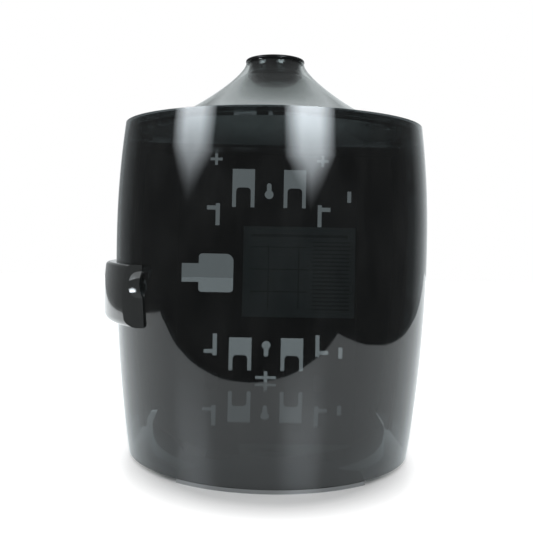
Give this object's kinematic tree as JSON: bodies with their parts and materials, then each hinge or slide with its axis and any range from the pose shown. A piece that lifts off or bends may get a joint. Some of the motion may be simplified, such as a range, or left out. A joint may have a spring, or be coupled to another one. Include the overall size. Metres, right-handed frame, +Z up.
{
  "type": "wall-mounted wipes dispenser",
  "caption": "Barrel-shaped wall dispenser for a roll of wet wipes, with a smoked swing-open cover, a funnel nozzle on top, a cam lock and a sloping tray inside.",
  "frame": {"origin": "on the wall plane, on the upright median, midway between the two keyholes", "axes": "+Y into the wall, +Z up, +X to the right as seen from the front"},
  "size_m": [0.2938, 0.267, 0.3475],
  "materials": {
    "smoked_plastic": "smoked translucent gloss",
    "black_plastic": "satin black",
    "grip_plastic": "dark grey gloss",
    "tray_plastic": "glossy dark grey",
    "label_sheet": "bare pale sheet",
    "steel": "zinc plated",
    "plated_metal": "bright plated"
  },
  "bodies": {
    "back": {"back_plate": "black_plastic", "instruction_label": "label_sheet", "roll_tray": "tray_plastic", "base_plate": "black_plastic", "tray_screws": "plated_metal", "base_screws": "steel", "latch_keeper": "black_plastic", "keeper_screws": "steel", "hinge_pin_upper": "steel", "hinge_pin_lower": "steel"},
    "cover": {"cover_shell": "smoked_plastic", "nozzle_dome": "smoked_plastic", "dome_screws": "steel", "nozzle_insert": "black_plastic", "insert_ring": "black_plastic", "latch_housing": "grip_plastic", "housing_screws": "steel", "lock_body": "plated_metal", "lock_nut": "plated_metal"},
    "lock": {"lock_plug": "plated_metal", "lock_cam": "steel", "cam_screw": "steel"}
  },
  "joints": [
    {"name": "cover_hinge", "type": "hinge", "parent": "back", "child": "cover", "pos_m": [0.142, -0.068, 0.028], "axis": [0, 0, 1], "range_deg": [0, 110]},
    {"name": "lock_turn", "type": "hinge", "parent": "cover", "child": "lock", "pos_m": [-0.13, -0.128, -0.0125], "axis": [1, 0, 0], "range_deg": [0, 90]}
  ]
}
